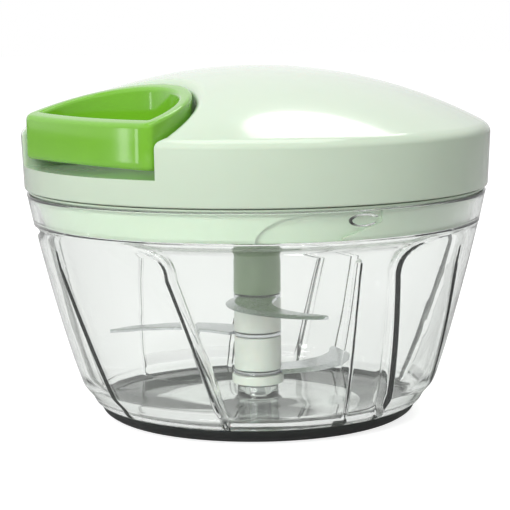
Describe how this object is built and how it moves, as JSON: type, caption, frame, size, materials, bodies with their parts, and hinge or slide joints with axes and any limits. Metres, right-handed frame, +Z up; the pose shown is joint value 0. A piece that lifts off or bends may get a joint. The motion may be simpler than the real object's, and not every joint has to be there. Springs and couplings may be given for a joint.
{
  "type": "pull-cord food chopper",
  "caption": "Manual food chopper: clear tapered bowl with curved blades on a centre pin, domed lid with a cord pulley inside, and a loop handle set into the lid's edge.",
  "frame": {"origin": "on the bowl's axis, on the surface that the base ring stands on", "axes": "+Z up along the axis of the bowl and blades; +X to the right and -Y to the front as the picture sees it, with the loop handle at the front left, 220 degrees from +X"},
  "size_m": [0.1252, 0.1248, 0.0942],
  "materials": {
    "clear_plastic": "clear, polished",
    "mint_plastic": "satin gloss",
    "green_plastic": "gloss",
    "dark_rubber": "matt",
    "grey_green_plastic": "satin",
    "white_plastic": "satin",
    "steel": "polished",
    "cord": "woven"
  },
  "bodies": {
    "bowl": {"bowl": "clear_plastic", "base_ring": "dark_rubber", "centre_pin": "steel"},
    "spindle": {"spindle": "steel"},
    "lid": {"top_cover": "mint_plastic", "lower_cover": "mint_plastic", "cord_guide": "steel", "cord_run": "cord", "recoil_spring": "steel", "thrust_washer": "white_plastic", "cover_screw_1": "steel", "cover_screw_2": "steel", "cover_screw_3": "steel"},
    "handle": {"pull_handle": "green_plastic", "cord_knot": "cord"},
    "pulley": {"pulley": "white_plastic", "cord_winding": "cord", "pawl_1": "steel", "pawl_2": "steel"},
    "hub": {"drive_hub": "grey_green_plastic"},
    "blades": {"blade_shaft": "white_plastic", "blade_lower": "steel", "blade_middle": "steel", "blade_upper": "steel", "spacer_lower": "white_plastic", "spacer_upper": "white_plastic", "stem_sleeve": "grey_green_plastic"}
  },
  "joints": [
    {"name": "lid_rise", "type": "slide", "parent": "bowl", "child": "spindle", "axis": [0, 0, 1], "range_m": [0, 0.01572]},
    {"name": "lid_turn", "type": "hinge", "parent": "spindle", "child": "lid", "pos_m": [0, 0, 0.06], "axis": [0, 0, 1], "range_deg": [0, 45]},
    {"name": "handle_pull", "type": "slide", "parent": "lid", "child": "handle", "axis": [-0.766, -0.6428, 0], "range_m": [0, 0.35], "stiffness_N_per_m": 12, "springref_m": -0.15, "deforming": ["cord_run"]},
    {"name": "pulley_spin", "type": "hinge", "parent": "lid", "child": "pulley", "pos_m": [0, 0, 0.0779], "axis": [0, 0, 1], "range_deg": [-1340, 0]},
    {"name": "hub_spin", "type": "hinge", "parent": "lid", "child": "hub", "pos_m": [0, 0, 0.06], "axis": [0, 0, 1], "range_deg": [-1340, 0]},
    {"name": "blade_spin", "type": "hinge", "parent": "bowl", "child": "blades", "pos_m": [0, 0, 0.015], "axis": [0, 0, 1], "range_deg": [-1340, 0]}
  ],
  "couplings": [
    {"joint": "lid_rise", "follows": "lid_turn", "m_per_rad": 0.02},
    {"joint": "pulley_spin", "follows": "handle_pull", "rad_per_m": -66.667},
    {"joint": "hub_spin", "follows": "handle_pull", "rad_per_m": -66.667},
    {"joint": "blade_spin", "follows": "handle_pull", "rad_per_m": -66.667}
  ]
}
